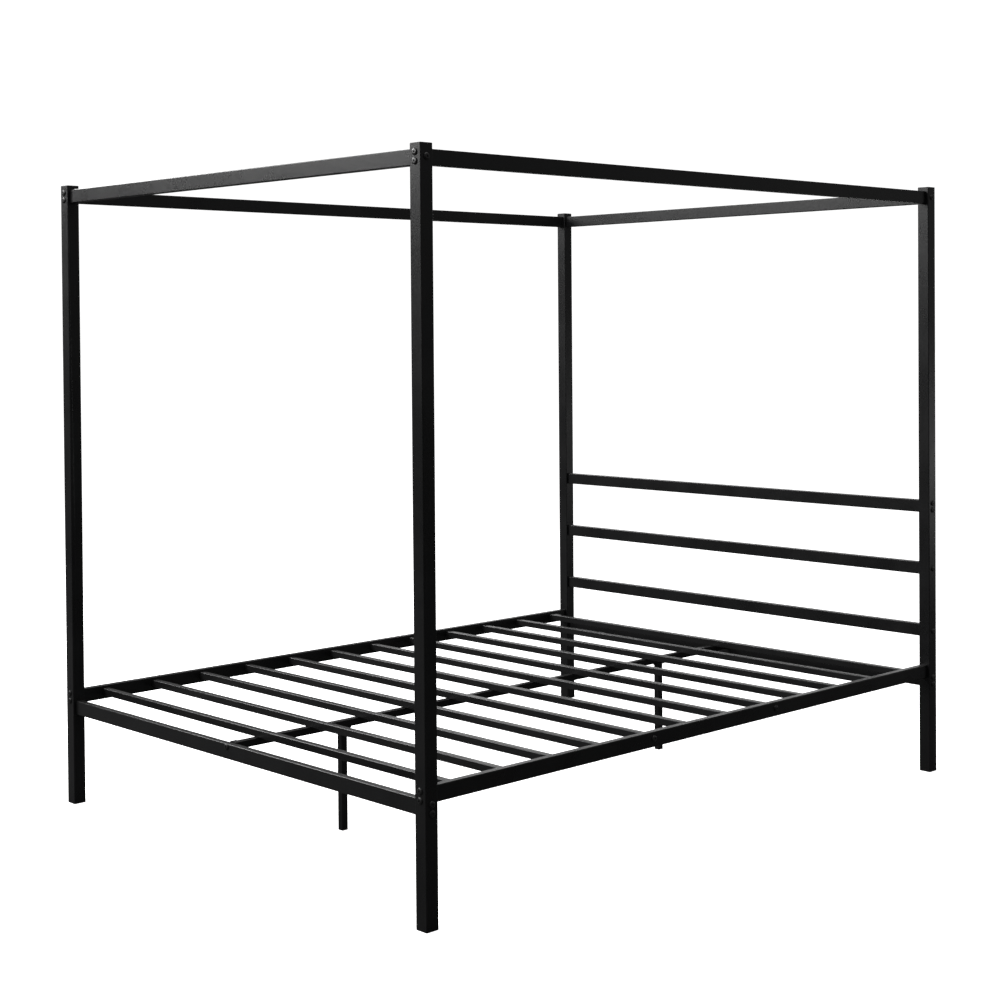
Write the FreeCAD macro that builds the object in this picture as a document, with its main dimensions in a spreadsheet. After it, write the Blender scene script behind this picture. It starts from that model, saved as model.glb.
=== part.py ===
import FreeCAD, Part
import os
import Sketcher
from FreeCAD import Placement, Rotation, Vector

# Four poster canopy bed of black steel tube, for a queen mattress.
# Frame: origin on the floor under the middle of the bed, +Z up, +X to the bed's right as seen
# from the foot, foot end towards -Y and headboard towards +Y. Millimetres.

document = FreeCAD.newDocument("CanopyBed")
sheet = document.addObject("Spreadsheet::Sheet", "Sizes")

SIZES = {
    # Overall size and the mattress that it holds
    "bed_width": "1600",
    "bed_length": "2108",
    "bed_height": "1810",
    # Corner posts: square tube with plastic ends
    "post_size": "38",
    "post_wall": "1.5",
    "post_corner": "2.5",
    "cap_head": "2.5",
    "plug_head": "5",
    "insert_depth": "14",
    "insert_gap": "0.2",
    "insert_wall": "3",
    # Rails: rectangular tube stood on edge
    "rail_thickness": "20",
    "rail_wall": "1.2",
    "rail_corner": "2",
    "canopy_rail_height": "38",
    "canopy_rail_drop": "32",
    "deck_rail_height": "40",
    "side_rail_centre": "313",
    "cross_rail_centre": "283",
    "headboard_rail_height": "38",
    "headboard_lowest": "437",
    "headboard_pitch": "193",
    # Slats and the beam under them: square tube
    "slat_size": "20",
    "slat_wall": "1",
    "slat_count": "12",
    "slat_pitch": "171",
    "slat_top": "325",
    "slat_entry": "14",
    "slot_gap": "0.3",
    # Hangers at the beam's ends
    "hanger_sheet": "2.5",
    "hanger_gap": "0.4",
    "hanger_depth": "20",
    # Two middle legs under the beam
    "leg_spread": "660",
    "foot_head": "5",
    "leg_plate_length": "50",
    "leg_plate_width": "24",
    "leg_plate_sheet": "3",
    "leg_plate_corner": "4",
    "leg_bolt_pitch": "35",
    # Fasteners: low button heads with a hexagon socket, threaded into plates inside the tubes
    "bolt_shank": "6",
    "bolt_head": "17",
    "bolt_head_height": "3.5",
    "bolt_rim": "1.2",
    "bolt_shoulder": "0.8",
    "bolt_shoulder_height": "2.65",
    "bolt_crest": "0.45",
    "bolt_socket": "4",
    "socket_depth": "2.2",
    "bolt_hole": "6.6",
    "thread_hole": "6.1",
    "small_shank": "5",
    "small_head": "9.5",
    "small_hole": "5.4",
    "post_bolt_length": "50",
    "beam_bolt_length": "40",
    "slat_bolt_length": "25",
    "leg_bolt_length": "12",
    "end_plate": "5",
    "nut_height": "4",
    "nut_across": "8",
    "canopy_bolt_pitch": "21",
    "side_bolt_pitch": "22",
    "cross_bolt_pitch": "21",
    "headboard_bolt_pitch": "21",
    # Worked out from the sizes above
    "post_x": "=bed_width / 2 - post_size / 2",
    "post_y": "=bed_length / 2 - post_size / 2",
    "cross_length": "=bed_width - 2 * post_size",
    "side_length": "=bed_length - 2 * post_size",
    "canopy_centre": "=bed_height - canopy_rail_drop",
    "headboard_middle": "=headboard_lowest + headboard_pitch",
    "headboard_highest": "=headboard_lowest + 2 * headboard_pitch",
    "slat_centre": "=slat_top - slat_size / 2",
    "slat_length": "=2 * (post_x - rail_thickness / 2 + slat_entry)",
    "first_slat": "=slat_pitch * (slat_count - 1) / 2",
    "bolted_slat": "=slat_pitch * 1.5",
    "beam_centre": "=slat_top - 1.5 * slat_size",
    "beam_bottom": "=slat_top - 2 * slat_size",
    "beam_length": "=2 * (post_y - rail_thickness / 2 - hanger_sheet)",
    "leg_top": "=beam_bottom - leg_plate_sheet",
}
for row, (alias, content) in enumerate(SIZES.items(), start=1):
    sheet.set(f"A{row}", alias)
    sheet.set(f"B{row}", content)
    sheet.setAlias(f"B{row}", alias)
document.recompute()

SIDES = {"left": -1, "right": 1}
ENDS = {"foot": -1, "head": 1}

# A tube is drawn along its own Z with its thickness on X and its height on Y, then turned.
UPRIGHT = Rotation()
ACROSS_BED = Rotation(Vector(0, 1, 0), Vector(0, 0, 1), Vector(1, 0, 0), "XYZ")
ALONG_BED = Rotation(Vector(1, 0, 0), Vector(0, 0, 1), Vector(0, -1, 0), "XYZ")
ALONG_BED_TURNED = Rotation(Vector(-1, 0, 0), Vector(0, 0, 1), Vector(0, 1, 0), "XYZ")

nodes = []


def size(expression):
    """Work out an expression of the sheet's aliases as a plain number."""
    result = sheet.evalExpression(expression)
    return float(getattr(result, "Value", result))


def bind(target, path, expression):
    """Tie a property of an object to an expression of the sheet's aliases."""
    for alias in sorted(SIZES, key=len, reverse=True):
        expression = expression.replace(alias, f"<{list(SIZES).index(alias)}>")
    for index, alias in enumerate(SIZES):
        expression = expression.replace(f"<{index}>", f"Sizes.{alias}")
    target.setExpression(path, expression)


def new_body(label):
    """Start a body whose label is also the name of its node."""
    body = document.addObject("PartDesign::Body", label)
    body.Label = label
    nodes.append(body)
    return body


def place(body, x, y, z, rotation=UPRIGHT):
    """Turn a body and tie its place to the sheet."""
    body.Placement = Placement(Vector(), rotation)
    for axis, expression in zip("xyz", (x, y, z)):
        bind(body, f"Placement.Base.{axis}", expression)


def new_sketch(body, name, plane, offset="0"):
    """Attach a sketch to one of the body's own origin planes, moved out along its normal."""
    sketch = body.newObject("Sketcher::SketchObject", name)
    supports = [feature for feature in body.Origin.OriginFeatures if feature.Role == plane]
    sketch.AttachmentSupport = (supports[0], [""])
    sketch.MapMode = "FlatFace"
    bind(sketch, "AttachmentOffset.Base.z", offset)
    return sketch


def hold(sketch, constraint, expression):
    """Add a size constraint to a sketch and tie it to the sheet."""
    index = sketch.addConstraint(constraint)
    bind(sketch, f"Constraints[{index}]", expression)


def draw_rectangle(sketch, width, height, x="0", y="0"):
    """Draw a rectangle of the given size about the point x, y."""
    left, right = size(f"{x} - ({width}) / 2"), size(f"{x} + ({width}) / 2")
    low, high = size(f"{y} - ({height}) / 2"), size(f"{y} + ({height}) / 2")
    corners = [Vector(left, low), Vector(right, low), Vector(right, high), Vector(left, high)]
    first = sketch.GeometryCount
    for start, end in zip(corners, corners[1:] + corners[:1]):
        sketch.addGeometry(Part.LineSegment(start, end))
    for side, direction in enumerate(("Horizontal", "Vertical") * 2):
        sketch.addConstraint(Sketcher.Constraint("Coincident", first + side, 2, first + (side + 1) % 4, 1))
        sketch.addConstraint(Sketcher.Constraint(direction, first + side))
    hold(sketch, Sketcher.Constraint("DistanceX", first, 1, first, 2, right - left), width)
    hold(sketch, Sketcher.Constraint("DistanceY", first + 1, 1, first + 1, 2, high - low), height)
    hold(sketch, Sketcher.Constraint("DistanceX", -1, 1, first, 1, left), f"{x} - ({width}) / 2")
    hold(sketch, Sketcher.Constraint("DistanceY", -1, 1, first, 1, low), f"{y} - ({height}) / 2")


def draw_circles(sketch, diameter, centres):
    """Draw circles of one diameter about a list of points."""
    for x, y in centres:
        centre = Vector(size(x), size(y), 0)
        circle = sketch.addGeometry(Part.Circle(centre, Vector(0, 0, 1), size(diameter) / 2))
        hold(sketch, Sketcher.Constraint("Diameter", circle, size(diameter)), diameter)
        hold(sketch, Sketcher.Constraint("DistanceX", -1, 1, circle, 3, centre.x), x)
        hold(sketch, Sketcher.Constraint("DistanceY", -1, 1, circle, 3, centre.y), y)


def extrude(body, kind, sketch, length=None, symmetric=False):
    """Pad or pocket a sketch; with no length it runs right through."""
    feature = body.newObject(f"PartDesign::{kind}", kind)
    feature.Profile = sketch
    if symmetric:
        feature.SideType = "Symmetric"
    if length is None:
        feature.Type = "ThroughAll"
    else:
        bind(feature, "Length", length)
    sketch.Visibility = False
    body.Tip = feature
    return feature


def round_long_edges(body, feature, radius):
    """Round the edges of a feature that run along the body's Z."""
    document.recompute()
    names = []
    for number, edge in enumerate(feature.Shape.Edges, start=1):
        run = edge.tangentAt(edge.FirstParameter)
        if edge.Curve.TypeId == "Part::GeomLine" and abs(run.z) > 0.999:
            names.append(f"Edge{number}")
    fillet = body.newObject("PartDesign::Fillet", "RoundedEdges")
    fillet.Base = (feature, names)
    bind(fillet, "Radius", radius)
    body.Tip = fillet


def make_tube(label, width, height, wall, corner, length):
    """A straight tube with rounded outer edges, centred on the body's origin."""
    body = new_body(label)
    outline = new_sketch(body, "Outline", "XY_Plane")
    draw_rectangle(outline, width, height)
    solid = extrude(body, "Pad", outline, length, symmetric=True)
    round_long_edges(body, solid, corner)
    bore = new_sketch(body, "Bore", "XY_Plane")
    draw_rectangle(bore, f"{width} - 2 * {wall}", f"{height} - 2 * {wall}")
    extrude(body, "Pocket", bore, symmetric=True)
    return body


def drill(body, plane, diameter, centres):
    """Drill round holes through both walls of a tube, square to one of its planes."""
    sketch = new_sketch(body, "Holes", plane)
    draw_circles(sketch, diameter, centres)
    extrude(body, "Pocket", sketch, symmetric=True)


def pair(centre, pitch):
    """Two heights a bolt pitch apart about a centre."""
    return [f"{centre} - {pitch} / 2", f"{centre} + {pitch} / 2"]


# ---- Corner posts -------------------------------------------------------------------------
# The side rails' bolts run along Y and the cross rails' bolts along X, at heights that pass
# each other inside the post.

bolts_along_bed = {
    "side_rail": pair("side_rail_centre", "side_bolt_pitch"),
    "canopy": pair("canopy_centre", "canopy_bolt_pitch"),
}
bolts_across_bed = {
    "cross_rail": pair("cross_rail_centre", "cross_bolt_pitch"),
    "canopy": ["canopy_centre"],
}
headboard_bolts = ["headboard_lowest", "headboard_middle"]
headboard_bolts += pair("headboard_highest", "headboard_bolt_pitch")

for end, y_sign in ENDS.items():
    for side, x_sign in SIDES.items():
        tube_length = "bed_height - cap_head - plug_head"
        tube_centre = "(bed_height - cap_head + plug_head) / 2"
        post = make_tube(f"post_{end}_{side}", "post_size", "post_size", "post_wall", "post_corner", tube_length)
        along = [z for heights in bolts_along_bed.values() for z in heights]
        across = [z for heights in bolts_across_bed.values() for z in heights]
        if end == "head":
            across += headboard_bolts
        drill(post, "XZ_Plane", "bolt_hole", [("0", f"{z} - {tube_centre}") for z in along])
        drill(post, "YZ_Plane", "bolt_hole", [("0", f"{z} - {tube_centre}") for z in across])
        place(post, f"{x_sign} * post_x", f"{y_sign} * post_y", tube_centre)


def make_tube_end(label, tube, wall, corner, head):
    """A plastic end: a head flush with the tube and a hollow insert inside it, head downwards."""
    body = new_body(label)
    outline = new_sketch(body, "Head", "XY_Plane")
    draw_rectangle(outline, tube, tube)
    solid = extrude(body, "Pad", outline, head)
    round_long_edges(body, solid, corner)
    bore = f"{tube} - 2 * {wall} - 2 * insert_gap"
    insert = new_sketch(body, "Insert", "XY_Plane", head)
    draw_rectangle(insert, bore, bore)
    extrude(body, "Pad", insert, "insert_depth")
    document.recompute()
    hollow = new_sketch(body, "Hollow", "XY_Plane", f"{head} + insert_depth")
    draw_rectangle(hollow, f"{bore} - 2 * insert_wall", f"{bore} - 2 * insert_wall")
    extrude(body, "Pocket", hollow, "insert_depth")
    return body


for end, y_sign in ENDS.items():
    for side, x_sign in SIDES.items():
        x, y = f"{x_sign} * post_x", f"{y_sign} * post_y"
        plug = make_tube_end(f"post_foot_plug_{end}_{side}", "post_size", "post_wall", "post_corner", "plug_head")
        place(plug, x, y, "0")
        cap = make_tube_end(f"post_cap_{end}_{side}", "post_size", "post_wall", "post_corner", "cap_head")
        place(cap, x, y, "bed_height", Rotation(Vector(1, 0, 0), 180))

# ---- Rails --------------------------------------------------------------------------------
# Every rail stands on edge between two posts, in the middle of their faces.


def make_rail(label, height, length):
    return make_tube(label, "rail_thickness", height, "rail_wall", "rail_corner", length)


canopy_rails = []
for end, y_sign in ENDS.items():
    rail = make_rail(f"canopy_rail_{end}", "canopy_rail_height", "cross_length")
    place(rail, "0", f"{y_sign} * post_y", "canopy_centre", ACROSS_BED)
    canopy_rails.append(rail)
canopy_side_rails = []
for side, x_sign in SIDES.items():
    rail = make_rail(f"canopy_rail_{side}", "canopy_rail_height", "side_length")
    place(rail, f"{x_sign} * post_x", "0", "canopy_centre", ALONG_BED)
    canopy_side_rails.append(rail)

headboard_rails = []
for name in ("lowest", "middle", "highest"):
    rail = make_rail(f"headboard_rail_{name}", "headboard_rail_height", "cross_length")
    place(rail, "0", "post_y", f"headboard_{name}", ACROSS_BED)
    headboard_rails.append(rail)

# The foot and head rails each have one hole, for the bolt that holds the beam's end.
cross_rails = []
for end, y_sign in ENDS.items():
    rail = make_rail(f"{end}_rail", "deck_rail_height", "cross_length")
    drill(rail, "YZ_Plane", "bolt_hole", [("beam_centre - cross_rail_centre", "0")])
    place(rail, "0", f"{y_sign} * post_y", "cross_rail_centre", ACROSS_BED)
    cross_rails.append(rail)

# The side rails take the slats' ends through square slots in their inner wall, and two bolts
# through their outer wall. Both rails are the same part, one turned end for end.
side_rails = []
for (side, x_sign), turn in zip(SIDES.items(), (ALONG_BED, ALONG_BED_TURNED)):
    rail = make_rail(f"side_rail_{side}", "deck_rail_height", "side_length")
    document.recompute()
    slot = new_sketch(rail, "Slot", "YZ_Plane", "rail_thickness / 2")
    slot_side = "slat_size + slot_gap"
    slot_centre = "slat_centre - side_rail_centre + slot_gap / 2"
    draw_rectangle(slot, slot_side, slot_side, slot_centre, "-first_slat")
    first_slot = extrude(rail, "Pocket", slot, "rail_wall + slot_gap")
    slots = rail.newObject("PartDesign::LinearPattern", "Slots")
    slots.Originals = [first_slot]
    slots.Direction = ([axis for axis in rail.Origin.OriginFeatures if axis.Role == "Z_Axis"][0], [""])
    bind(slots, "Length", "2 * first_slat")
    bind(slots, "Occurrences", "slat_count")
    rail.Tip = slots
    document.recompute()
    outer = new_sketch(rail, "SlatBoltHoles", "YZ_Plane", "-rail_thickness / 2 + rail_wall + slot_gap")
    bolt_height = "slat_centre - side_rail_centre"
    draw_circles(outer, "bolt_hole", [(bolt_height, "-bolted_slat"), (bolt_height, "bolted_slat")])
    extrude(rail, "Pocket", outer, "2 * rail_wall")
    place(rail, f"{x_sign} * post_x", "0", "side_rail_centre", turn)
    side_rails.append(rail)

# ---- Slats, centre beam and its legs ------------------------------------------------------

slats = []
for number in range(int(size("slat_count"))):
    slat = make_tube(f"slat_{number + 1:02d}", "slat_size", "slat_size", "slat_wall", "rail_corner", "slat_length")
    place(slat, "0", f"-first_slat + {number} * slat_pitch", "slat_centre", ACROSS_BED)
    slats.append(slat)

# The beam runs along the bed under the slats, and its bottom wall has the legs' bolt holes.
beam = make_tube("centre_beam", "slat_size", "slat_size", "rail_wall", "rail_corner", "beam_length")
document.recompute()
leg_bolt_offsets = [f"{sign} * leg_spread {shift} leg_bolt_pitch / 2" for sign in (-1, 1) for shift in "-+"]
leg_holes = new_sketch(beam, "LegBoltHoles", "XZ_Plane", "slat_size / 2")
draw_circles(leg_holes, "small_hole", [("0", offset) for offset in leg_bolt_offsets])
extrude(beam, "Pocket", leg_holes, "2 * rail_wall")
place(beam, "0", "0", "beam_centre", ALONG_BED)

# A hanger is a folded cup, open at the top, between a cross rail and the beam's end.
for end, y_sign in ENDS.items():
    hanger = new_body(f"beam_hanger_{end}")
    block = new_sketch(hanger, "Block", "XY_Plane")
    cup = "slat_size + 2 * hanger_gap"
    draw_rectangle(block, f"{cup} + 2 * hanger_sheet", "slat_size + hanger_sheet", "0", "-hanger_sheet / 2")
    folded = extrude(hanger, "Pad", block, "hanger_depth")
    document.recompute()
    room = new_sketch(hanger, "BeamRoom", "XY_Plane", "hanger_depth")
    draw_rectangle(room, cup, "slat_size * 2", "0", "slat_size / 2")
    extrude(hanger, "Pocket", room, "hanger_depth - hanger_sheet")
    document.recompute()
    hole = new_sketch(hanger, "BoltHole", "XY_Plane", "hanger_sheet")
    draw_circles(hole, "bolt_hole", [("0", "0")])
    extrude(hanger, "Pocket", hole)
    turn = ALONG_BED_TURNED if end == "foot" else ALONG_BED
    place(hanger, "0", f"{y_sign} * (post_y - rail_thickness / 2)", "beam_centre", turn)

for end, y_sign in ENDS.items():
    y = f"{y_sign} * leg_spread"
    leg = make_tube(f"centre_leg_{end}", "slat_size", "slat_size", "rail_wall", "rail_corner", "leg_top - foot_head")
    place(leg, "0", y, "(leg_top + foot_head) / 2")
    foot = make_tube_end(f"leg_foot_{end}", "slat_size", "rail_wall", "rail_corner", "foot_head")
    place(foot, "0", y, "0")
    plate = new_body(f"leg_plate_{end}")
    outline = new_sketch(plate, "Outline", "XY_Plane")
    draw_rectangle(outline, "leg_plate_width", "leg_plate_length")
    sheet_metal = extrude(plate, "Pad", outline, "leg_plate_sheet")
    round_long_edges(plate, sheet_metal, "leg_plate_corner")
    drill(plate, "XY_Plane", "small_hole", [("0", "-leg_bolt_pitch / 2"), ("0", "leg_bolt_pitch / 2")])
    place(plate, "0", y, "leg_top")

# ---- Fasteners ----------------------------------------------------------------------------
# Each group is one node of separate solids, copied from one shape that is sized by the sheet.


def add_group(label, solids):
    """Keep a list of solids as one node."""
    group = document.addObject("Part::Feature", label)
    group.Label = label
    group.Shape = Part.makeCompound(solids)
    nodes.append(group)


def hexagon(across_flats, depth):
    """A hexagonal prism that stands on Z = 0."""
    radius = across_flats / 3 ** 0.5
    corners = [Rotation(Vector(0, 0, 1), 60 * turn).multVec(Vector(radius, 0, 0)) for turn in range(7)]
    return Part.Face(Part.makePolygon(corners)).extrude(Vector(0, 0, depth))


def make_bolt(head_diameter, shank_diameter, length):
    """A low domed bolt along -Z, its head standing on Z = 0, with a hexagon socket."""
    rim = size("bolt_rim")
    top = size("bolt_head_height")
    edge = head_diameter / 2
    shoulder = Vector(edge * size("bolt_shoulder"), 0, size("bolt_shoulder_height"))
    crest = Vector(edge * size("bolt_crest"), 0, top)
    rim_edge = Vector(edge, 0, rim)
    outline = [
        Part.makeLine(Vector(), Vector(edge, 0, 0)),
        Part.makeLine(Vector(edge, 0, 0), rim_edge),
        Part.Arc(rim_edge, shoulder, crest).toShape(),
        Part.makeLine(crest, Vector(0, 0, top)),
        Part.makeLine(Vector(0, 0, top), Vector()),
    ]
    head = Part.Face(Part.Wire(outline)).revolve(Vector(), Vector(0, 0, 1), 360)
    shank = Part.makeCylinder(shank_diameter / 2, length, Vector(0, 0, -length))
    socket = hexagon(size("bolt_socket"), top)
    socket.translate(Vector(0, 0, top - size("socket_depth")))
    return head.fuse(shank).cut(socket)


def point_along(shape, position, direction):
    """A copy of a shape at a position, its +Z turned to a direction."""
    copy = shape.copy()
    copy.Placement = Placement(position, Rotation(Vector(0, 0, 1), direction))
    return copy


post_bolt = make_bolt(size("bolt_head"), size("bolt_shank"), size("post_bolt_length"))


def bolts_into_side_faces(heights, ends=ENDS):
    """Bolts along X through the posts, heads on the bed's two long sides."""
    solids = []
    for x_sign in SIDES.values():
        for end in ends:
            for z in heights:
                position = Vector(x_sign * size("bed_width") / 2, ENDS[end] * size("post_y"), size(z))
                solids.append(point_along(post_bolt, position, Vector(x_sign, 0, 0)))
    return solids


def bolts_into_end_faces(heights):
    """Bolts along Y through the posts, heads on the bed's foot and head."""
    solids = []
    for y_sign in ENDS.values():
        for x_sign in SIDES.values():
            for z in heights:
                position = Vector(x_sign * size("post_x"), y_sign * size("bed_length") / 2, size(z))
                solids.append(point_along(post_bolt, position, Vector(0, y_sign, 0)))
    return solids


add_group(
    "canopy_bolts",
    bolts_into_end_faces(bolts_along_bed["canopy"]) + bolts_into_side_faces(bolts_across_bed["canopy"]),
)
add_group("side_rail_bolts", bolts_into_end_faces(bolts_along_bed["side_rail"]))
add_group("cross_rail_bolts", bolts_into_side_faces(bolts_across_bed["cross_rail"]))
add_group("headboard_bolts", bolts_into_side_faces(headboard_bolts, ["head"]))

beam_bolt = make_bolt(size("bolt_head"), size("bolt_shank"), size("beam_bolt_length"))
beam_bolts = []
for y_sign in ENDS.values():
    position = Vector(0, y_sign * size("post_y + rail_thickness / 2"), size("beam_centre"))
    beam_bolts.append(point_along(beam_bolt, position, Vector(0, y_sign, 0)))
add_group("beam_bolts", beam_bolts)

slat_bolt = make_bolt(size("bolt_head"), size("bolt_shank"), size("slat_bolt_length"))
slat_bolts = []
for x_sign in SIDES.values():
    for y_sign in ENDS.values():
        x = x_sign * size("post_x + rail_thickness / 2")
        position = Vector(x, y_sign * size("bolted_slat"), size("slat_centre"))
        slat_bolts.append(point_along(slat_bolt, position, Vector(x_sign, 0, 0)))
add_group("slat_bolts", slat_bolts)

# The legs' bolts point up through the leg plate into nuts welded inside the beam.
leg_bolt = make_bolt(size("small_head"), size("small_shank"), size("leg_bolt_length"))
nut = hexagon(size("nut_across"), size("nut_height"))
nut = nut.cut(Part.makeCylinder(size("small_hole") / 2, size("nut_height")))
leg_bolts = []
leg_nuts = []
for offset in leg_bolt_offsets:
    under_plate = Vector(0, size(offset), size("leg_top"))
    leg_bolts.append(point_along(leg_bolt, under_plate, Vector(0, 0, -1)))
    in_beam = Vector(0, size(offset), size("beam_bottom + rail_wall"))
    leg_nuts.append(point_along(nut, in_beam, Vector(0, 0, 1)))
add_group("leg_bolts", leg_bolts)
add_group("leg_bolt_nuts", leg_nuts)


def end_plates(label, tubes, width, height, length, hole_heights):
    """Tapped plates welded just inside both ends of each tube, seen in the tube's own frame."""
    thickness = size("end_plate")
    plate = Part.makeBox(size(width), size(height), thickness, Vector(-size(width) / 2, -size(height) / 2, 0))
    for y in hole_heights:
        plate = plate.cut(Part.makeCylinder(size("thread_hole") / 2, thickness, Vector(0, size(y), 0)))
    solids = []
    for tube in tubes:
        for z in (-size(length) / 2, size(length) / 2 - thickness):
            solid = plate.copy()
            solid.Placement = tube.Placement.multiply(Placement(Vector(0, 0, z), Rotation()))
            solids.append(solid)
    add_group(label, solids)


document.recompute()
rail_bore = "rail_thickness - 2 * rail_wall"
canopy_bore = "canopy_rail_height - 2 * rail_wall"
deck_bore = "deck_rail_height - 2 * rail_wall"
end_plates("canopy_end_plates", canopy_rails, rail_bore, canopy_bore, "cross_length", ["0"])
end_plates(
    "canopy_side_end_plates", canopy_side_rails, rail_bore, canopy_bore, "side_length", pair("0", "canopy_bolt_pitch")
)
end_plates("side_rail_end_plates", side_rails, rail_bore, deck_bore, "side_length", pair("0", "side_bolt_pitch"))
end_plates("cross_rail_end_plates", cross_rails, rail_bore, deck_bore, "cross_length", pair("0", "cross_bolt_pitch"))
end_plates("headboard_end_plates", headboard_rails[:2], rail_bore, canopy_bore, "cross_length", ["0"])
end_plates(
    "headboard_top_end_plates",
    headboard_rails[2:],
    rail_bore,
    canopy_bore,
    "cross_length",
    pair("0", "headboard_bolt_pitch"),
)
beam_bore = "slat_size - 2 * rail_wall"
slat_bore = "slat_size - 2 * slat_wall"
end_plates("beam_end_plates", [beam], beam_bore, beam_bore, "beam_length", ["0"])
middle = len(slats) // 2
bolted_slats = [slats[middle - 2], slats[middle + 1]]
end_plates("slat_end_plates", bolted_slats, slat_bore, slat_bore, "slat_length", ["0"])

# ---- Checks and export --------------------------------------------------------------------

document.recompute()
for item in document.Objects:
    if "Invalid" in item.State or "Error" in item.State:
        raise RuntimeError(f"{item.Label} failed: {item.State}")
os.makedirs("parts", exist_ok=True)
for node in nodes:
    if node.Shape.isNull() or not node.Shape.isValid():
        raise RuntimeError(f"{node.Label} has no valid shape")
    node.Shape.exportStep(f"parts/{node.Label}.step")
print(f"{len(nodes)} nodes written")
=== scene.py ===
import math

import bpy
from mathutils import Matrix, Vector


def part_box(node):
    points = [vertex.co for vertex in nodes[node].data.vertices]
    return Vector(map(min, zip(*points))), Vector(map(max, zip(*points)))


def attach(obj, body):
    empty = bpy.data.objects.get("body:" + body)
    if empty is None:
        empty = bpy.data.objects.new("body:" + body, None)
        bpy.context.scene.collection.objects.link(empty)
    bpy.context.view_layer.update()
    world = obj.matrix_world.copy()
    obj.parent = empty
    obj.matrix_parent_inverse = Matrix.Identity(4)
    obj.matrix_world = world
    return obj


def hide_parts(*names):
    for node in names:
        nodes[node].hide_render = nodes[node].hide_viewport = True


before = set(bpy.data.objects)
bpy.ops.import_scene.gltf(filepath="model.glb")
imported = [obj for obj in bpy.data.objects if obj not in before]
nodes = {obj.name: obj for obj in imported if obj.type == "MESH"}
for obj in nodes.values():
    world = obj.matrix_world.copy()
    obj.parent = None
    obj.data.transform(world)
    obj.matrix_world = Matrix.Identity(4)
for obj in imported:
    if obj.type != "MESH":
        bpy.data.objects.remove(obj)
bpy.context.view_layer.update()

# ---- Corner posts ---------------------------------------------------------------------------
# Four lengths of 38 mm square steel tube with rounded edges, drilled for the rails' bolts. Each
# is sprayed with black powder and baked, which leaves a satin skin with a fine peel, an uneven
# gloss, a thinner coat over the rounded edges and a little dust on what faces up. That pale tone
# on the upward faces is partly dust and partly a painted sheen of the light they catch from above.

def start_group(name, inputs, outputs):
    """A node group with its sockets, ready to be filled."""
    tree = bpy.data.node_groups.new(name, "ShaderNodeTree")
    for label, value in inputs.items():
        socket = tree.interface.new_socket(label, in_out="INPUT", socket_type="NodeSocketFloat")
        socket.default_value = value
    for label in outputs:
        tree.interface.new_socket(label, in_out="OUTPUT", socket_type="NodeSocketFloat")
    return tree, tree.nodes.new("NodeGroupInput"), tree.nodes.new("NodeGroupOutput")


def add_math(tree, operation, *values, clamp=False):
    """A math node whose inputs are numbers or other nodes' outputs; gives its output."""
    node = tree.nodes.new("ShaderNodeMath")
    node.operation = operation
    node.use_clamp = clamp
    for socket, value in zip(node.inputs, values):
        if isinstance(value, bpy.types.NodeSocket):
            tree.links.new(value, socket)
        else:
            socket.default_value = value
    return node.outputs[0]


def add_noise(tree, coordinates, scale, detail=2.0, roughness=0.5):
    """Noise on the given coordinates; gives its value."""
    node = tree.nodes.new("ShaderNodeTexNoise")
    tree.links.new(coordinates, node.inputs["Vector"])
    node.inputs["Detail"].default_value = detail
    node.inputs["Roughness"].default_value = roughness
    if isinstance(scale, bpy.types.NodeSocket):
        tree.links.new(scale, node.inputs["Scale"])
    else:
        node.inputs["Scale"].default_value = scale
    return node.outputs["Fac"]


def add_range(tree, value, low, high, to_low=0.0, to_high=1.0):
    """Stretch a value from one range to another, smoothly and within its ends."""
    node = tree.nodes.new("ShaderNodeMapRange")
    node.interpolation_type = "SMOOTHSTEP"
    tree.links.new(value, node.inputs["Value"])
    for label, number in zip(("From Min", "From Max", "To Min", "To Max"), (low, high, to_low, to_high)):
        if isinstance(number, bpy.types.NodeSocket):
            tree.links.new(number, node.inputs[label])
        else:
            node.inputs[label].default_value = number
    return node.outputs["Result"]


def build_surface_grain():
    """Peel and grain of a sprayed or moulded skin, and the slow drift of its gloss."""
    inputs = {"Peel Scale": 700.0, "Grain Scale": 2600.0, "Grain Share": 0.3}
    tree, given, result = start_group("surface_grain", inputs, ["Height", "Mottle"])
    place = tree.nodes.new("ShaderNodeTexCoord").outputs["Object"]
    peel = add_noise(tree, place, given.outputs["Peel Scale"], detail=1.5)
    grain = add_noise(tree, place, given.outputs["Grain Scale"], detail=1.0)
    height = add_math(tree, "ADD", peel, add_math(tree, "MULTIPLY", grain, given.outputs["Grain Share"]))
    tree.links.new(height, result.inputs["Height"])
    drift = add_noise(tree, place, 7.0, detail=4.0, roughness=0.6)
    tree.links.new(add_range(tree, drift, 0.3, 0.7), result.inputs["Mottle"])
    return tree


def build_rounded_edge():
    """A mask of the rounded edges: there the surface faces along none of the bed's axes."""
    tree, given, result = start_group("rounded_edge", {"Patchiness": 0.5}, ["Edge"])
    geometry = tree.nodes.new("ShaderNodeNewGeometry")
    facing = tree.nodes.new("ShaderNodeSeparateXYZ")
    tree.links.new(geometry.outputs["Normal"], facing.inputs[0])
    sides = [add_math(tree, "ABSOLUTE", facing.outputs[axis]) for axis in "XYZ"]
    squareness = add_math(tree, "MAXIMUM", add_math(tree, "MAXIMUM", sides[0], sides[1]), sides[2])
    edge = add_range(tree, squareness, 0.99, 0.78)
    place = tree.nodes.new("ShaderNodeTexCoord").outputs["Object"]
    patches = add_range(tree, add_noise(tree, place, 38.0, detail=5.0, roughness=0.65), 0.42, 0.66)
    kept = add_math(tree, "SUBTRACT", 1.0, add_math(tree, "MULTIPLY", given.outputs["Patchiness"], patches))
    tree.links.new(add_math(tree, "MULTIPLY", edge, kept), result.inputs["Edge"])
    return tree


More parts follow.
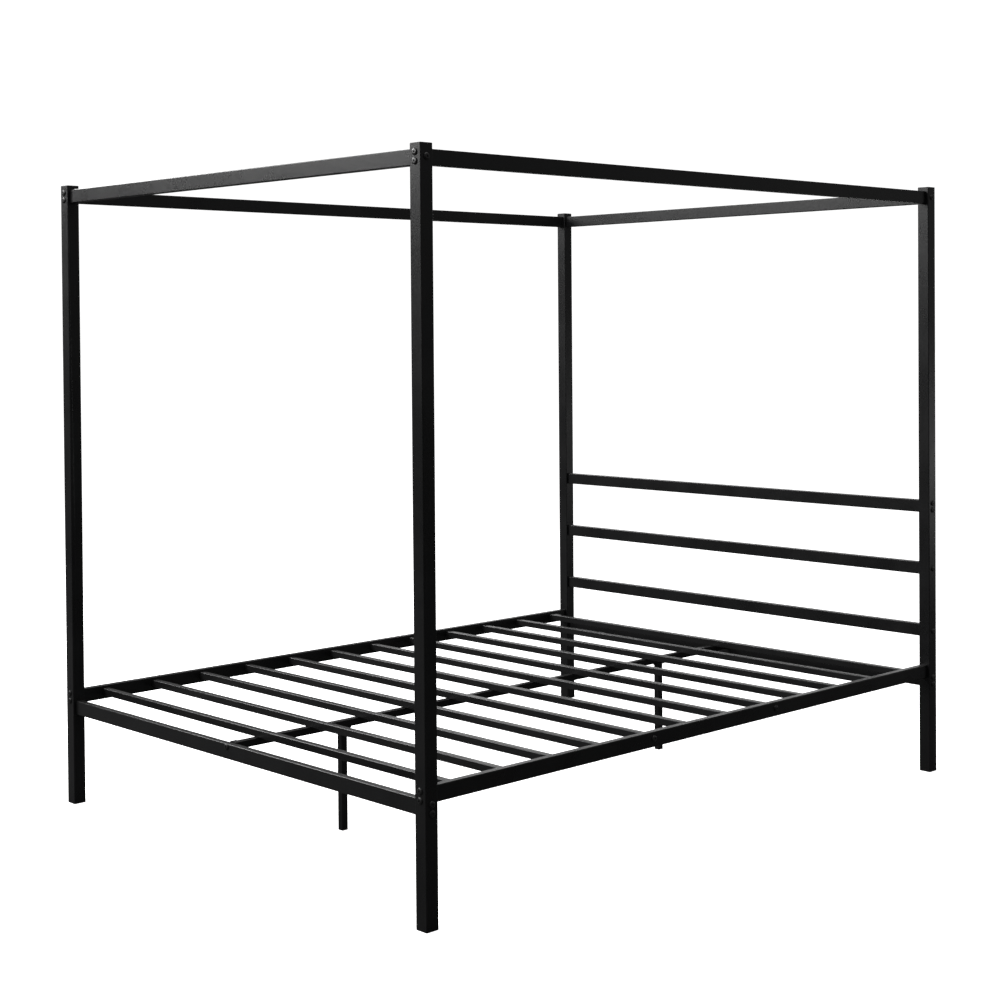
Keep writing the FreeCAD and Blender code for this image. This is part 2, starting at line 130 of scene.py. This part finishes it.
def build_dust_and_top_sheen():
    """Household dust on what faces up, thinning out in patches; it also lightens those faces as a painted
    sheen of light from above.
    """
    tree, given, result = start_group("dust_and_top_sheen", {"Amount": 0.3}, ["Dust"])
    geometry = tree.nodes.new("ShaderNodeNewGeometry")
    facing = tree.nodes.new("ShaderNodeSeparateXYZ")
    tree.links.new(geometry.outputs["Normal"], facing.inputs[0])
    upward = add_range(tree, facing.outputs["Z"], 0.55, 0.98)
    place = tree.nodes.new("ShaderNodeTexCoord").outputs["Object"]
    clouds = add_range(tree, add_noise(tree, place, 16.0, detail=6.0, roughness=0.7), 0.35, 0.75)
    specks = add_range(tree, add_noise(tree, place, 900.0, detail=1.0), 0.5, 0.72)
    cloud_share = add_math(tree, "MULTIPLY", clouds, 0.7)
    speck_share = add_math(tree, "MULTIPLY", specks, 0.3)
    lying = add_math(tree, "ADD", cloud_share, speck_share)
    # The mask is partly dust and partly painted sheen on the upward faces.
    dust_and_sheen = add_math(tree, "MULTIPLY", add_math(tree, "MULTIPLY", upward, lying), given.outputs["Amount"])
    tree.links.new(dust_and_sheen, result.inputs["Dust"])
    return tree


surface_grain = build_surface_grain()
rounded_edge = build_rounded_edge()
dust_and_top_sheen = build_dust_and_top_sheen()


def add_group(tree, group, **values):
    """Place a shared group in a material with its own values."""
    node = tree.nodes.new("ShaderNodeGroup")
    node.node_tree = group
    for label, value in values.items():
        node.inputs[label.replace("_", " ")].default_value = value
    return node.outputs


def mix_colour(tree, mask, first, second):
    """Blend two colours by a mask; either may be a colour or another node's output."""
    node = tree.nodes.new("ShaderNodeMix")
    node.data_type = "RGBA"
    tree.links.new(mask, node.inputs["Factor"])
    for label, colour in (("A", first), ("B", second)):
        socket = [entry for entry in node.inputs if entry.name == label and entry.type == "RGBA"][0]
        if isinstance(colour, bpy.types.NodeSocket):
            tree.links.new(colour, socket)
        else:
            socket.default_value = (*colour, 1.0)
    return [output for output in node.outputs if output.type == "RGBA"][0]


def start_material(name, specular):
    """A new material, its tree and its shader, with one specular level all over."""
    material = bpy.data.materials.new(name)
    material.use_nodes = True
    tree = material.node_tree
    shader = tree.nodes["Principled BSDF"]
    shader.inputs["Specular IOR Level"].default_value = specular
    return material, tree, shader


def add_bump(tree, shader, height, distance):
    """Drive the shader's normal from a height in the given depth."""
    bump = tree.nodes.new("ShaderNodeBump")
    bump.inputs["Strength"].default_value = 1.0
    bump.inputs["Distance"].default_value = distance
    tree.links.new(height, bump.inputs["Height"])
    tree.links.new(bump.outputs["Normal"], shader.inputs["Normal"])


# Pale tone for what faces up: dust, and also a painted sheen that lightens those faces.
DUST_AND_SHEEN_COLOUR = (0.16, 0.155, 0.148)


def make_powder_coat(name, deep, drifted, worn):
    """Baked black powder: satin, finely peeled, a little thin on the edges, and dusty on top, with a
    painted sheen there.
    """
    material, tree, shader = start_material(name, 0.28)
    grain = add_group(tree, surface_grain, Peel_Scale=620.0, Grain_Scale=2400.0, Grain_Share=0.35)
    edge = add_group(tree, rounded_edge, Patchiness=0.55)["Edge"]
    dust_and_sheen = add_group(tree, dust_and_top_sheen, Amount=0.06)["Dust"]
    colour = mix_colour(tree, grain["Mottle"], deep, drifted)
    colour = mix_colour(tree, add_math(tree, "MULTIPLY", edge, 0.5), colour, worn)
    # Upward faces are mixed towards the pale tone: partly dust, partly a painted sheen of light from above.
    tree.links.new(mix_colour(tree, dust_and_sheen, colour, DUST_AND_SHEEN_COLOUR), shader.inputs["Base Color"])
    gloss = add_range(tree, grain["Mottle"], 0.0, 1.0, 0.27, 0.31)
    gloss = add_math(tree, "SUBTRACT", gloss, add_math(tree, "MULTIPLY", edge, 0.07))
    gloss = add_math(tree, "ADD", gloss, add_math(tree, "MULTIPLY", dust_and_sheen, 0.8), clamp=True)
    tree.links.new(gloss, shader.inputs["Roughness"])
    add_bump(tree, shader, grain["Height"], 0.00012)
    return material


black_powder_coat = make_powder_coat(
    "black_powder_coat",
    deep=(0.006, 0.006, 0.0063),
    drifted=(0.0085, 0.0085, 0.0088),
    worn=(0.02, 0.02, 0.0205),
)


def finish_with(material, *names):
    """Give CAD pieces a finish."""
    for name in names:
        nodes[name].data.materials.clear()
        nodes[name].data.materials.append(material)


POSTS = ("foot_left", "foot_right", "head_left", "head_right")
finish_with(black_powder_coat, *[f"post_{corner}" for corner in POSTS])

# ---- Post caps and foot plugs ---------------------------------------------------------------
# Black plastic ends, moulded with a hollow stub that is pushed into the tube. The cap's head is
# thin and softly edged; the plug's is thicker, because the bed stands on it.

def make_moulded_plastic(name, deep, drifted):
    """Black moulded plastic: a fine etched grain, scuffed lighter along the rounded edges."""
    material, tree, shader = start_material(name, 0.3)
    grain = add_group(tree, surface_grain, Peel_Scale=1500.0, Grain_Scale=4200.0, Grain_Share=0.7)
    scuffs = add_group(tree, rounded_edge, Patchiness=0.9)["Edge"]
    colour = mix_colour(tree, grain["Mottle"], deep, drifted)
    colour = mix_colour(tree, add_math(tree, "MULTIPLY", scuffs, 0.6), colour, (0.028, 0.028, 0.028))
    dust_and_sheen = add_group(tree, dust_and_top_sheen, Amount=0.08)["Dust"]
    # Upward faces are mixed towards the pale tone: partly dust, partly a painted sheen of light from above.
    tree.links.new(mix_colour(tree, dust_and_sheen, colour, DUST_AND_SHEEN_COLOUR), shader.inputs["Base Color"])
    gloss = add_range(tree, grain["Mottle"], 0.0, 1.0, 0.42, 0.55)
    tree.links.new(gloss, shader.inputs["Roughness"])
    add_bump(tree, shader, grain["Height"], 0.00003)
    return material


black_plastic = make_moulded_plastic("black_moulded_plastic", (0.007, 0.007, 0.007), (0.010, 0.010, 0.0102))


def edit_new(name):
    """Name the primitive just added and open it for editing."""
    piece = bpy.context.object
    piece.name = name
    piece.data.name = name
    bpy.ops.object.mode_set(mode="EDIT")
    return piece


def select_in_edit(piece, kind, test):
    """In edit mode, select just the faces or edges that pass a test of their middle or ends."""
    bpy.ops.mesh.select_mode(type=kind)
    bpy.ops.mesh.select_all(action="DESELECT")
    bpy.ops.object.mode_set(mode="OBJECT")
    mesh = piece.data
    if kind == "FACE":
        for face in mesh.polygons:
            face.select = test(face.center, face.normal)
    else:
        for edge in mesh.edges:
            ends = [mesh.vertices[index].co for index in edge.vertices]
            edge.select = test((ends[0] + ends[1]) / 2, (ends[1] - ends[0]).normalized())
    bpy.ops.object.mode_set(mode="EDIT")


def close_edit(piece, smooth_angle):
    """Leave edit mode with the normals outward and the soft edges smooth."""
    bpy.ops.mesh.select_all(action="SELECT")
    bpy.ops.mesh.normals_make_consistent(inside=False)
    bpy.ops.object.mode_set(mode="OBJECT")
    bpy.ops.object.shade_smooth_by_angle(angle=math.radians(smooth_angle))
    piece.select_set(False)


STUB_CLEARANCE = 0.0004


def model_tube_end(name, width, head, stub, wall, corner, edge_round):
    """A square end piece about the origin: dished head from Z = 0 up, hollow stub below."""
    bpy.ops.object.select_all(action="DESELECT")
    flat = head - edge_round
    bpy.ops.mesh.primitive_cube_add(size=1.0, location=(0.0, 0.0, flat / 2), scale=(width, width, flat))
    piece = bpy.context.object
    bpy.ops.object.transform_apply(location=True, rotation=True, scale=True)
    edit_new(name)
    select_in_edit(piece, "EDGE", lambda middle, along: abs(along.z) > 0.9)
    bpy.ops.mesh.bevel(offset=corner, segments=5, profile=0.5)
    select_in_edit(piece, "FACE", lambda middle, normal: normal.z > 0.9)
    span, level = width, 0.0
    for angle in (22.5, 45.0, 67.5, 90.0):
        new_span = width - 2 * edge_round * (1.0 - math.cos(math.radians(angle)))
        new_level = edge_round * math.sin(math.radians(angle))
        bpy.ops.mesh.extrude_region_move(TRANSFORM_OT_translate={"value": (0.0, 0.0, new_level - level)})
        bpy.ops.transform.resize(value=(new_span / span, new_span / span, 1.0))
        span, level = new_span, new_level
    dish_steps = ((0.78, 0.0), (0.97, edge_round * -0.2))
    for scale, rise in dish_steps:
        bpy.ops.mesh.extrude_region_move(TRANSFORM_OT_translate={"value": (0.0, 0.0, rise)})
        bpy.ops.transform.resize(value=(scale, scale, 1.0))
    select_in_edit(piece, "FACE", lambda middle, normal: normal.z < -0.9)
    stub_scale = (width - 2 * wall - STUB_CLEARANCE) / width
    down_to_tip = ((stub_scale, 0.0), (1.0, -stub * 0.8), (0.97, -stub * 0.2))
    up_inside = ((0.84, 0.0), (1.0, stub * 0.94))
    for scale, rise in down_to_tip + up_inside:
        bpy.ops.mesh.extrude_region_move(TRANSFORM_OT_translate={"value": (0.0, 0.0, rise)})
        bpy.ops.transform.resize(value=(scale, scale, 1.0))
    close_edit(piece, 35.0)
    return piece


def copy_to(piece, name, matrix):
    """A copy with a mesh of its own, its new place carried into the mesh."""
    copy = piece.copy()
    copy.data = piece.data.copy()
    copy.name = name
    copy.data.name = name
    copy.data.transform(matrix)
    bpy.context.scene.collection.objects.link(copy)
    return copy


def hand_over(piece, slot_name, material, *replaced):
    """Finish a new piece and let it stand for its CAD nodes."""
    piece.data.materials.clear()
    piece.data.materials.append(material)
    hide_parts(*replaced)
    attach(piece, "root")


def middle_of(name):
    """The middle of a node's box."""
    low, high = (Vector(corner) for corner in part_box(name))
    return (low + high) / 2


TURNED_DOWN = Matrix.Rotation(math.pi, 4, "X")
POST_WALL = 0.0015
POST_CORNER = 0.0025
CAP_EDGE = 0.0009
PLUG_EDGE = 0.0014
cap_low, cap_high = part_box("post_cap_foot_left")
plug_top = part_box("post_foot_plug_foot_left")[1][2]
tube_low, tube_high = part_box("post_foot_left")
post_width = tube_high[0] - tube_low[0]
cap_head, cap_stub = cap_high[2] - tube_high[2], tube_high[2] - cap_low[2]
plug_head, plug_stub = tube_low[2], plug_top - tube_low[2]
cap = model_tube_end("post_cap", post_width, cap_head, cap_stub, POST_WALL, POST_CORNER, CAP_EDGE)
plug = model_tube_end("post_foot_plug", post_width, plug_head, plug_stub, POST_WALL, POST_CORNER, PLUG_EDGE)
for corner in POSTS:
    middle = middle_of(f"post_{corner}")
    at_top = Matrix.Translation((middle.x, middle.y, tube_high[2]))
    at_foot = Matrix.Translation((middle.x, middle.y, tube_low[2])) @ TURNED_DOWN
    cap_piece = copy_to(cap, f"cap_of_post_{corner}", at_top)
    hand_over(cap_piece, "plastic_end", black_plastic, f"post_cap_{corner}")
    plug_piece = copy_to(plug, f"plug_of_post_{corner}", at_foot)
    hand_over(plug_piece, "plastic_end", black_plastic, f"post_foot_plug_{corner}")
bpy.data.objects.remove(cap)
bpy.data.objects.remove(plug)

# ---- Headboard rails, foot rail and head rail -----------------------------------------------
# Flat steel tube stood on edge between two posts, cut square and coated like them. Five in all:
# three across the headboard and one at each end of the deck.

finish_with(black_powder_coat, "headboard_rail_lowest", "headboard_rail_middle", "headboard_rail_highest")
finish_with(black_powder_coat, "foot_rail", "head_rail")

# ---- Side rails -----------------------------------------------------------------------------
# The same flat tube down both long sides, with twelve square slots punched in the inner wall for
# the slats.

finish_with(black_powder_coat, "side_rail_left", "side_rail_right")

# ---- Slats ----------------------------------------------------------------------------------
# Twelve light 20 mm square tubes. They carry the mattress, so their coat is rubbed a little
# lighter than the frame's.

slat_coat = make_powder_coat(
    "rubbed_powder_coat",
    deep=(0.0075, 0.0075, 0.0078),
    drifted=(0.0105, 0.0105, 0.0108),
    worn=(0.024, 0.024, 0.0245),
)
finish_with(slat_coat, *[f"slat_{number:02d}" for number in range(1, 13)])

# ---- Centre beam and its hangers ------------------------------------------------------------
# One 20 mm square tube from foot to head under the slats. A folded steel hanger, bolted to each
# end rail and coated like it, holds each end.

finish_with(black_powder_coat, "centre_beam", "beam_hanger_foot", "beam_hanger_head")

# ---- Middle legs ----------------------------------------------------------------------------
# Two 20 mm square tubes under the beam, each welded all round to a rounded steel plate that is
# bolted up to the beam, and each on a pushed-in plastic foot. The weld is coated over.

finish_with(black_powder_coat, "centre_leg_foot", "centre_leg_head", "leg_plate_foot", "leg_plate_head")


def model_weld_ring(name, width, bead):
    """A bead of weld round a square tube, its top at Z = 0, with the ripples that a torch leaves."""
    bpy.ops.object.select_all(action="DESELECT")
    half = width / 2
    ripple_count, ripple_depth, corner_reach = 34.0, 0.03, 1.32
    bpy.ops.mesh.primitive_torus_add(
        major_segments=96,
        minor_segments=10,
        major_radius=half,
        minor_radius=bead,
        location=(0.0, 0.0, -bead),
    )
    piece = bpy.context.object
    bpy.ops.object.transform_apply(location=True, rotation=True, scale=True)
    for vertex in piece.data.vertices:
        angle = math.atan2(vertex.co.y, vertex.co.x)
        out = math.hypot(vertex.co.x, vertex.co.y)
        square = 1.0 / max(abs(math.cos(angle)), abs(math.sin(angle)))
        uneven = 0.7 * math.sin(angle * 5.0)
        ripple = 1.0 + ripple_depth * math.sin(angle * ripple_count + uneven)
        reach = (out - half) * ripple + half * min(square, corner_reach)
        vertex.co.x = reach * math.cos(angle)
        vertex.co.y = reach * math.sin(angle)
    bpy.ops.object.shade_smooth()
    piece.name = name
    return piece


leg_low, leg_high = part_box("centre_leg_foot")
leg_width = leg_high[0] - leg_low[0]
WELD_BEAD = 0.0011
weld = model_weld_ring("leg_weld", leg_width, WELD_BEAD)
for end in ("foot", "head"):
    middle = middle_of(f"centre_leg_{end}")
    ring = copy_to(weld, f"leg_weld_{end}", Matrix.Translation((middle.x, middle.y, leg_high[2])))
    ring.data.materials.clear()
    ring.data.materials.append(black_powder_coat)
    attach(ring, "root")
bpy.data.objects.remove(weld)

LEG_WALL = 0.0012
LEG_CORNER = 0.002
LEG_END_EDGE = 0.0012
foot_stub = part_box("leg_foot_foot")[1][2] - leg_low[2]
leg_end = model_tube_end("leg_end", leg_width, leg_low[2], foot_stub, LEG_WALL, LEG_CORNER, LEG_END_EDGE)
for end in ("foot", "head"):
    middle = middle_of(f"centre_leg_{end}")
    at_foot = Matrix.Translation((middle.x, middle.y, leg_low[2])) @ TURNED_DOWN
    foot_piece = copy_to(leg_end, f"foot_of_leg_{end}", at_foot)
    hand_over(foot_piece, "plastic_end", black_plastic, f"leg_foot_{end}")
bpy.data.objects.remove(leg_end)

# ---- Canopy rails ---------------------------------------------------------------------------
# Four flat tubes that tie the posts together just below their caps, coated like the posts.

finish_with(black_powder_coat, *[f"canopy_rail_{place}" for place in ("foot", "head", "left", "right")])

# ---- Bolts ----------------------------------------------------------------------------------
# Low button heads with a hexagon socket, in blackened steel. They hold every rail through its
# post, the hangers, the two tied slats and the middle legs.

def make_black_steel(name):
    """Blackened steel: partly bare metal under a mottled film of oil."""
    material, tree, shader = start_material(name, 0.6)
    grain = add_group(tree, surface_grain, Peel_Scale=2200.0, Grain_Scale=6000.0, Grain_Share=0.4)
    film = add_noise(tree, tree.nodes.new("ShaderNodeTexCoord").outputs["Object"], 420.0, detail=3.0)
    thin_film = add_range(tree, film, 0.35, 0.7)
    colour = mix_colour(tree, thin_film, (0.012, 0.012, 0.0125), (0.022, 0.0215, 0.021))
    tree.links.new(colour, shader.inputs["Base Color"])
    tree.links.new(add_range(tree, film, 0.3, 0.75, 0.26, 0.4), shader.inputs["Roughness"])
    tree.links.new(add_range(tree, grain["Mottle"], 0.0, 1.0, 0.35, 0.6), shader.inputs["Metallic"])
    add_bump(tree, shader, grain["Height"], 0.000012)
    return material


black_steel = make_black_steel("black_steel")


SHOULDER_WIDTH = 0.985
CROWN_WIDTH = 0.45
SHOULDER_HEIGHT = 0.0002
CROWN_ANGLES = (0.35, 0.7, 1.05, 1.35)


def model_bolt(name, shank_width, length, head_width, head_height, rim, socket, socket_depth):
    """A bolt on Z, its button head built up in rings from Z = 0, then the socket sunk."""
    bpy.ops.object.select_all(action="DESELECT")
    bpy.ops.mesh.primitive_cylinder_add(
        vertices=6, radius=socket / math.sqrt(3.0), depth=socket_depth * 2, location=(0.0, 0.0, head_height)
    )
    key = edit_new("key")
    select_in_edit(key, "FACE", lambda middle, normal: normal.z < -0.9)
    bpy.ops.mesh.inset(thickness=socket * 0.1)
    bpy.ops.mesh.merge(type="CENTER")
    bpy.ops.transform.translate(value=(0.0, 0.0, socket * -0.14))
    bpy.ops.object.mode_set(mode="OBJECT")
    bpy.ops.object.select_all(action="DESELECT")
    half = head_width / 2
    bpy.ops.mesh.primitive_circle_add(vertices=48, radius=half, fill_type="NGON", location=(0.0, 0.0, 0.0))
    piece = edit_new(name)
    bpy.ops.mesh.select_all(action="SELECT")
    shoulder = rim + SHOULDER_HEIGHT
    steps = [(1.0, rim), (SHOULDER_WIDTH, shoulder)]
    for angle in CROWN_ANGLES:
        drawn_in = (SHOULDER_WIDTH - CROWN_WIDTH) * (1.0 - math.cos(angle)) ** 0.9
        steps.append((SHOULDER_WIDTH - drawn_in, shoulder + (head_height - shoulder) * math.sin(angle)))
    steps.append((CROWN_WIDTH, head_height))
    width, height = 1.0, 0.0
    for new_width, new_height in steps:
        bpy.ops.mesh.extrude_region_move(TRANSFORM_OT_translate={"value": (0.0, 0.0, new_height - height)})
        bpy.ops.transform.resize(value=(new_width / width, new_width / width, 1.0))
        width, height = new_width, new_height
    select_in_edit(piece, "FACE", lambda middle, normal: abs(middle.z) < 1e-6)
    bpy.ops.mesh.inset(thickness=half - shank_width / 2)
    bpy.ops.mesh.extrude_region_move(TRANSFORM_OT_translate={"value": (0.0, 0.0, -length)})
    close_edit(piece, 40.0)
    piece.select_set(True)
    bpy.context.view_layer.objects.active = piece
    sink = piece.modifiers.new("socket", "BOOLEAN")
    sink.operation = "DIFFERENCE"
    sink.object = key
    sink.solver = "EXACT"
    bpy.ops.object.modifier_apply(modifier=sink.name)
    soften = piece.modifiers.new("soften", "BEVEL")
    soften.width = 0.00018
    soften.segments = 2
    soften.limit_method = "ANGLE"
    soften.angle_limit = math.radians(48.0)
    bpy.ops.object.modifier_apply(modifier=soften.name)
    bpy.ops.object.shade_smooth_by_angle(angle=math.radians(40.0))
    piece.select_set(False)
    bpy.data.objects.remove(key)
    return piece


def facing(direction):
    """A turn that brings +Z to a direction."""
    return Vector(direction).to_track_quat("Z", "Y").to_matrix().to_4x4()


def fit_bolts(name, bolt, places, *replaced):
    """Copy a bolt to each place and direction, and join the copies into one piece."""
    copies = []
    for number, (place, direction) in enumerate(places):
        copies.append(copy_to(bolt, f"{name}_{number:02d}", Matrix.Translation(place) @ facing(direction)))
    bpy.ops.object.select_all(action="DESELECT")
    for copy in copies:
        copy.select_set(True)
    bpy.context.view_layer.objects.active = copies[0]
    bpy.ops.object.join()
    piece = bpy.context.object
    piece.name = name
    piece.select_set(False)
    hand_over(piece, "bolt", black_steel, *replaced)


def pair(middle, pitch):
    """Two heights about a middle."""
    return (middle - pitch / 2, middle + pitch / 2)


ENDS = {"foot": -1.0, "head": 1.0}
SIDES = {"left": -1.0, "right": 1.0}
post_low, post_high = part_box("post_head_right")
side_face = post_high[0]
end_face = post_high[1]
post_x, post_y = (post_low[0] + side_face) / 2, (post_low[1] + end_face) / 2


def on_end_faces(heights):
    """Places on the posts' foot and head faces."""
    return [
        ((side * post_x, end * end_face, z), (0.0, end, 0.0))
        for end in ENDS.values() for side in SIDES.values() for z in heights
    ]


def on_side_faces(heights, ends=ENDS):
    """Places on the posts' outer side faces."""
    return [
        ((side * side_face, ENDS[end] * post_y, z), (side, 0.0, 0.0))
        for side in SIDES.values() for end in ends for z in heights
    ]


BUTTON = {"head_height": 0.0035, "rim": 0.0012, "socket": 0.004, "socket_depth": 0.0022}
WIDE_BUTTON = {"head_width": 0.017, **BUTTON}
PAIR_PITCH = 0.021
SIDE_RAIL_PITCH = 0.022
post_bolt = model_bolt("post_bolt", shank_width=0.006, length=0.05, **WIDE_BUTTON)
canopy_z = middle_of("canopy_rail_left").z
canopy_places = on_end_faces(pair(canopy_z, PAIR_PITCH)) + on_side_faces((canopy_z,))
fit_bolts("bolts_of_canopy", post_bolt, canopy_places, "canopy_bolts")
side_rail_heights = pair(middle_of("side_rail_left").z, SIDE_RAIL_PITCH)
fit_bolts("bolts_of_side_rails", post_bolt, on_end_faces(side_rail_heights), "side_rail_bolts")
end_rail_heights = pair(middle_of("foot_rail").z, PAIR_PITCH)
fit_bolts("bolts_of_end_rails", post_bolt, on_side_faces(end_rail_heights), "cross_rail_bolts")
headboard_heights = (
    middle_of("headboard_rail_lowest").z,
    middle_of("headboard_rail_middle").z,
    *pair(middle_of("headboard_rail_highest").z, PAIR_PITCH),
)
fit_bolts("bolts_of_headboard", post_bolt, on_side_faces(headboard_heights, ("head",)), "headboard_bolts")

beam_bolt = model_bolt("beam_bolt", shank_width=0.006, length=0.04, **WIDE_BUTTON)
rail_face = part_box("head_rail")[1][1]
beam_z = middle_of("centre_beam").z
beam_places = [((0.0, end * rail_face, beam_z), (0.0, end, 0.0)) for end in ENDS.values()]
fit_bolts("bolts_of_beam", beam_bolt, beam_places, "beam_bolts")

slat_bolt = model_bolt("slat_bolt", shank_width=0.006, length=0.025, **WIDE_BUTTON)
rail_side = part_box("side_rail_right")[1][0]
tied_slats = [middle_of(name) for name in ("slat_05", "slat_08")]
slat_places = [
    ((side * rail_side, slat.y, slat.z), (side, 0.0, 0.0)) for side in SIDES.values() for slat in tied_slats
]
fit_bolts("bolts_of_slats", slat_bolt, slat_places, "slat_bolts")

LEG_BOLT_PITCH = 0.035
leg_bolt = model_bolt("leg_bolt", shank_width=0.005, length=0.012, head_width=0.0095, **BUTTON)
plate_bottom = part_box("leg_plate_foot")[0][2]
leg_places = []
for end in ENDS:
    plate = middle_of(f"leg_plate_{end}")
    for y in pair(plate.y, LEG_BOLT_PITCH):
        leg_places.append(((plate.x, y, plate_bottom), (0.0, 0.0, -1.0)))
fit_bolts("bolts_of_legs", leg_bolt, leg_places, "leg_bolts")
for pattern_bolt in (post_bolt, beam_bolt, slat_bolt, leg_bolt):
    bpy.data.objects.remove(pattern_bolt)

# ---- End plates and nuts --------------------------------------------------------------------
# Bright zinc-plated steel inside the tubes, which the bolts are threaded into. It only shows
# through the slots and the open holes.

def make_zinc_plate(name):
    """Zinc plate: pale, with a drawn grain and duller cloudy patches."""
    material, tree, shader = start_material(name, 0.5)
    shader.inputs["Metallic"].default_value = 1.0
    place = tree.nodes.new("ShaderNodeTexCoord").outputs["Object"]
    clouds = add_range(tree, add_noise(tree, place, 90.0, detail=4.0), 0.35, 0.7)
    colour = mix_colour(tree, clouds, (0.42, 0.43, 0.44), (0.55, 0.55, 0.54))
    tree.links.new(colour, shader.inputs["Base Color"])
    stretched = tree.nodes.new("ShaderNodeMapping")
    stretched.inputs["Scale"].default_value = (1.0, 1.0, 14.0)
    tree.links.new(place, stretched.inputs["Vector"])
    drawn = add_noise(tree, stretched.outputs["Vector"], 700.0, detail=2.0)
    tree.links.new(add_range(tree, drawn, 0.3, 0.7, 0.3, 0.48), shader.inputs["Roughness"])
    add_bump(tree, shader, drawn, 0.00001)
    return material


end_plates = [name for name in nodes if name.endswith("_end_plates")]
finish_with(make_zinc_plate("zinc_plate"), "leg_bolt_nuts", *end_plates)

# ---- Floor ----------------------------------------------------------------------------------
# A wide pale floor that runs out into a white surround. It looks white, and gives only a little
# light back to the bed.

bpy.ops.object.select_all(action="DESELECT")
bpy.ops.mesh.primitive_plane_add(size=160.0, location=(0.0, 0.0, 0.0))
floor = bpy.context.object
floor.name = "floor"
floor_paint = bpy.data.materials.new("pale_floor")
floor_paint.use_nodes = True
tree = floor_paint.node_tree
shader = tree.nodes["Principled BSDF"]
shader.inputs["Roughness"].default_value = 0.9
shader.inputs["Specular IOR Level"].default_value = 0.1
seen = tree.nodes.new("ShaderNodeLightPath").outputs["Is Camera Ray"]
tree.links.new(mix_colour(tree, seen, (0.06, 0.06, 0.06), (0.9, 0.9, 0.9)), shader.inputs["Base Color"])
shader.inputs["Emission Color"].default_value = (1.0, 1.0, 1.0, 1.0)
tree.links.new(add_math(tree, "MULTIPLY", seen, 1.0), shader.inputs["Emission Strength"])
floor.data.materials.append(floor_paint)

# ---- Light ----------------------------------------------------------------------------------
# A long soft light above the foot of the bed, a broad one overhead and a strip on the left. Weaker
# ones behind the head skim the upward faces and the head posts. The white surround lights faintly.

world = bpy.data.worlds.new("white_surround")
bpy.context.scene.world = world
world.use_nodes = True
tree = world.node_tree
background = tree.nodes["Background"]
background.inputs["Color"].default_value = (1.0, 1.0, 1.0, 1.0)
seen = tree.nodes.new("ShaderNodeLightPath").outputs["Is Camera Ray"]
tree.links.new(add_range(tree, seen, 0.0, 1.0, 0.2, 1.1), background.inputs["Strength"])


def add_soft_light(name, place, aim, width, height, power):
    """A rectangular soft light that faces a point."""
    lamp = bpy.data.lights.new(name, "AREA")
    lamp.shape = "RECTANGLE"
    lamp.size = width
    lamp.size_y = height
    lamp.energy = power
    light = bpy.data.objects.new(name, lamp)
    bpy.context.scene.collection.objects.link(light)
    light.location = place
    light.rotation_euler = (Vector(aim) - Vector(place)).to_track_quat("-Z", "Y").to_euler()


add_soft_light("foot_light", (-2.6, -4.6, 3.6), (0.0, -0.6, 1.2), 6.0, 2.4, 330.0)
add_soft_light("overhead_light", (0.0, 0.0, 5.5), (0.0, 0.0, 0.0), 5.0, 5.0, 200.0)
add_soft_light("left_light", (-4.2, -1.3, 3.9), (0.0, -0.1, 0.3), 4.6, 0.9, 190.0)
add_soft_light("skimming_light", (-3.9, 5.0, 2.0), (0.2, 0.0, 0.37), 3.5, 1.2, 21.0)
add_soft_light("head_light", (3.2, 4.8, 0.6), (0.8, 1.05, 0.8), 2.5, 0.7, 7.0)

# ---- Camera ---------------------------------------------------------------------------------
# Chest height, well off the foot's right corner, looking very slightly down.

camera_data = bpy.data.cameras.new("camera")
camera = bpy.data.objects.new("camera", camera_data)
bpy.context.scene.collection.objects.link(camera)
bpy.context.scene.camera = camera
camera_data.lens = 63.72
camera_data.shift_y = -0.14
camera_data.clip_end = 300.0
camera.location = (3.8376, -3.7027, 1.3848)
heading = Matrix.Rotation(math.radians(46.387), 3, "Z")
tilt = Matrix.Rotation(math.radians(90.0 - 1.03), 3, "X")
roll = Matrix.Rotation(math.radians(-0.429), 3, "Z")
camera.rotation_euler = (heading @ tilt @ roll).to_euler()
bpy.context.scene.view_settings.view_transform = "Standard"
